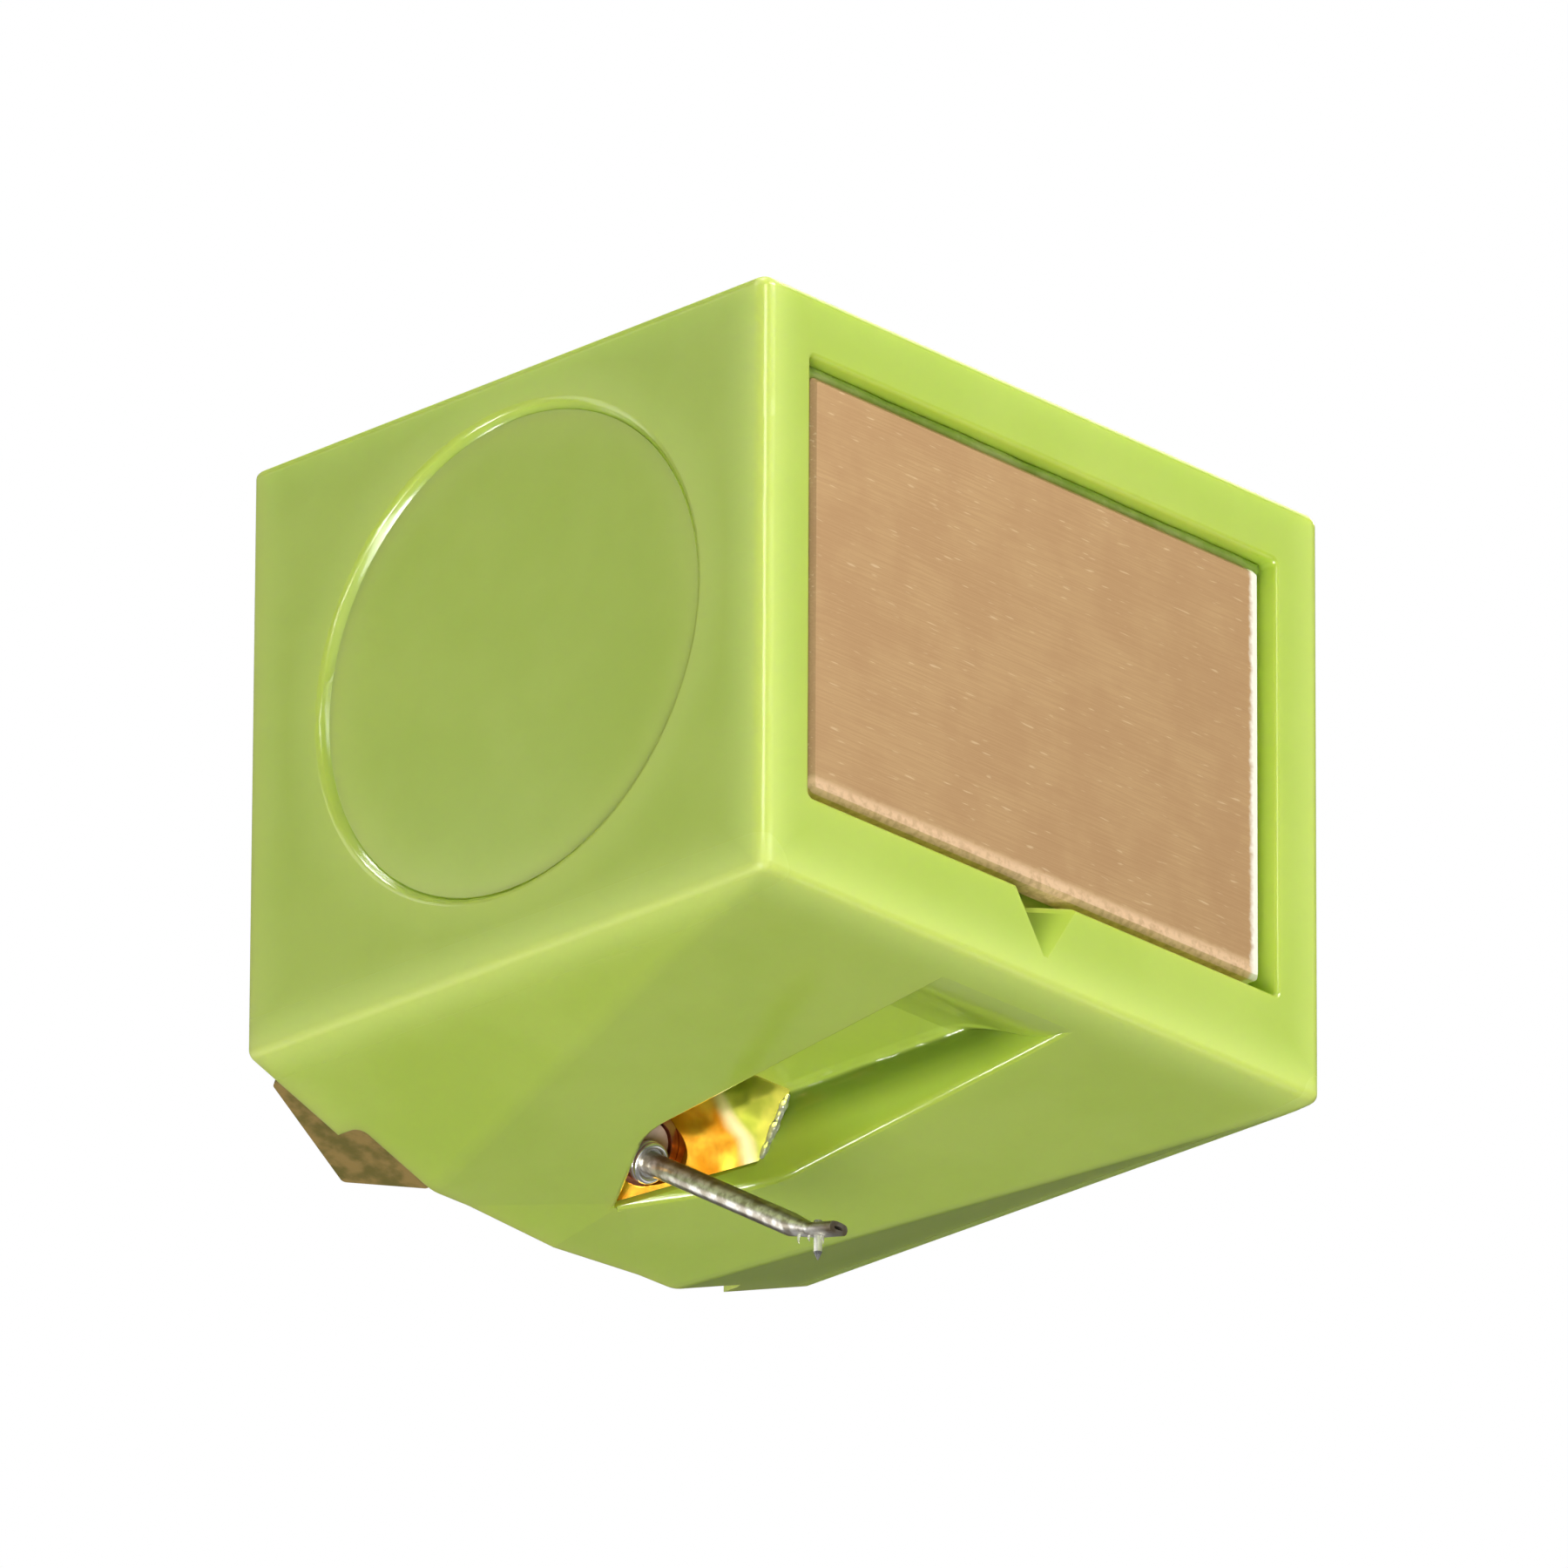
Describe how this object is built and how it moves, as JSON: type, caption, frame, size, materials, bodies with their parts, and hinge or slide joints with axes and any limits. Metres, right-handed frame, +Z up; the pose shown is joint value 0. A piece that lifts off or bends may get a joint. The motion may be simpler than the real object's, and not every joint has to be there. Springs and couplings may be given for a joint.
{
  "type": "turntable stylus",
  "caption": "Replacement turntable stylus: a translucent moulded holder that slides on a cartridge nose and carries a sprung tube cantilever with a diamond point under its belly.",
  "frame": {"origin": "centre of the rear plane, where the cartridge nose enters, at half the height of the holder's walls", "axes": "+X to the right seen from the front plate, +Y rearwards out of the socket, +Z up, away from the record"},
  "size_m": [0.0162, 0.0161, 0.0169],
  "materials": {
    "holder_plastic": "translucent gloss",
    "plate_metal": "brushed",
    "adhesive": "matt film",
    "gold": "polished plating",
    "copper": "polished",
    "damper_rubber": "matt",
    "soft_iron": "satin",
    "cantilever_alloy": "satin",
    "shank": "polished",
    "diamond": "polished",
    "wire_steel": "drawn",
    "magnet_alloy": "ground",
    "bronze": "dull"
  },
  "bodies": {
    "holder": {"housing": "holder_plastic", "front_plate": "plate_metal", "plate_adhesive": "adhesive", "stylus_sleeve": "gold", "suspension_tube": "copper", "tie_wire": "wire_steel", "wire_anchor": "copper", "magnet": "magnet_alloy", "retaining_leaf": "bronze"},
    "damper_ring": {"damper": "damper_rubber"},
    "stylus": {"armature": "soft_iron", "cantilever": "cantilever_alloy", "stylus_shank": "shank", "diamond_tip": "diamond"}
  },
  "joints": [
    {"name": "stylus_lateral", "type": "hinge", "parent": "holder", "child": "damper_ring", "pos_m": [0, -0.0028, -0.00682], "axis": [0, -0.5299, 0.848], "range_deg": [-4, 4], "stiffness_Nm_per_rad": 0.002, "deforming": ["tie_wire"]},
    {"name": "stylus_vertical", "type": "hinge", "parent": "damper_ring", "child": "stylus", "pos_m": [0, -0.0028, -0.00682], "axis": [-1, 0, 0], "range_deg": [-1.5, 5], "stiffness_Nm_per_rad": 0.002, "deforming": ["tie_wire"]}
  ]
}
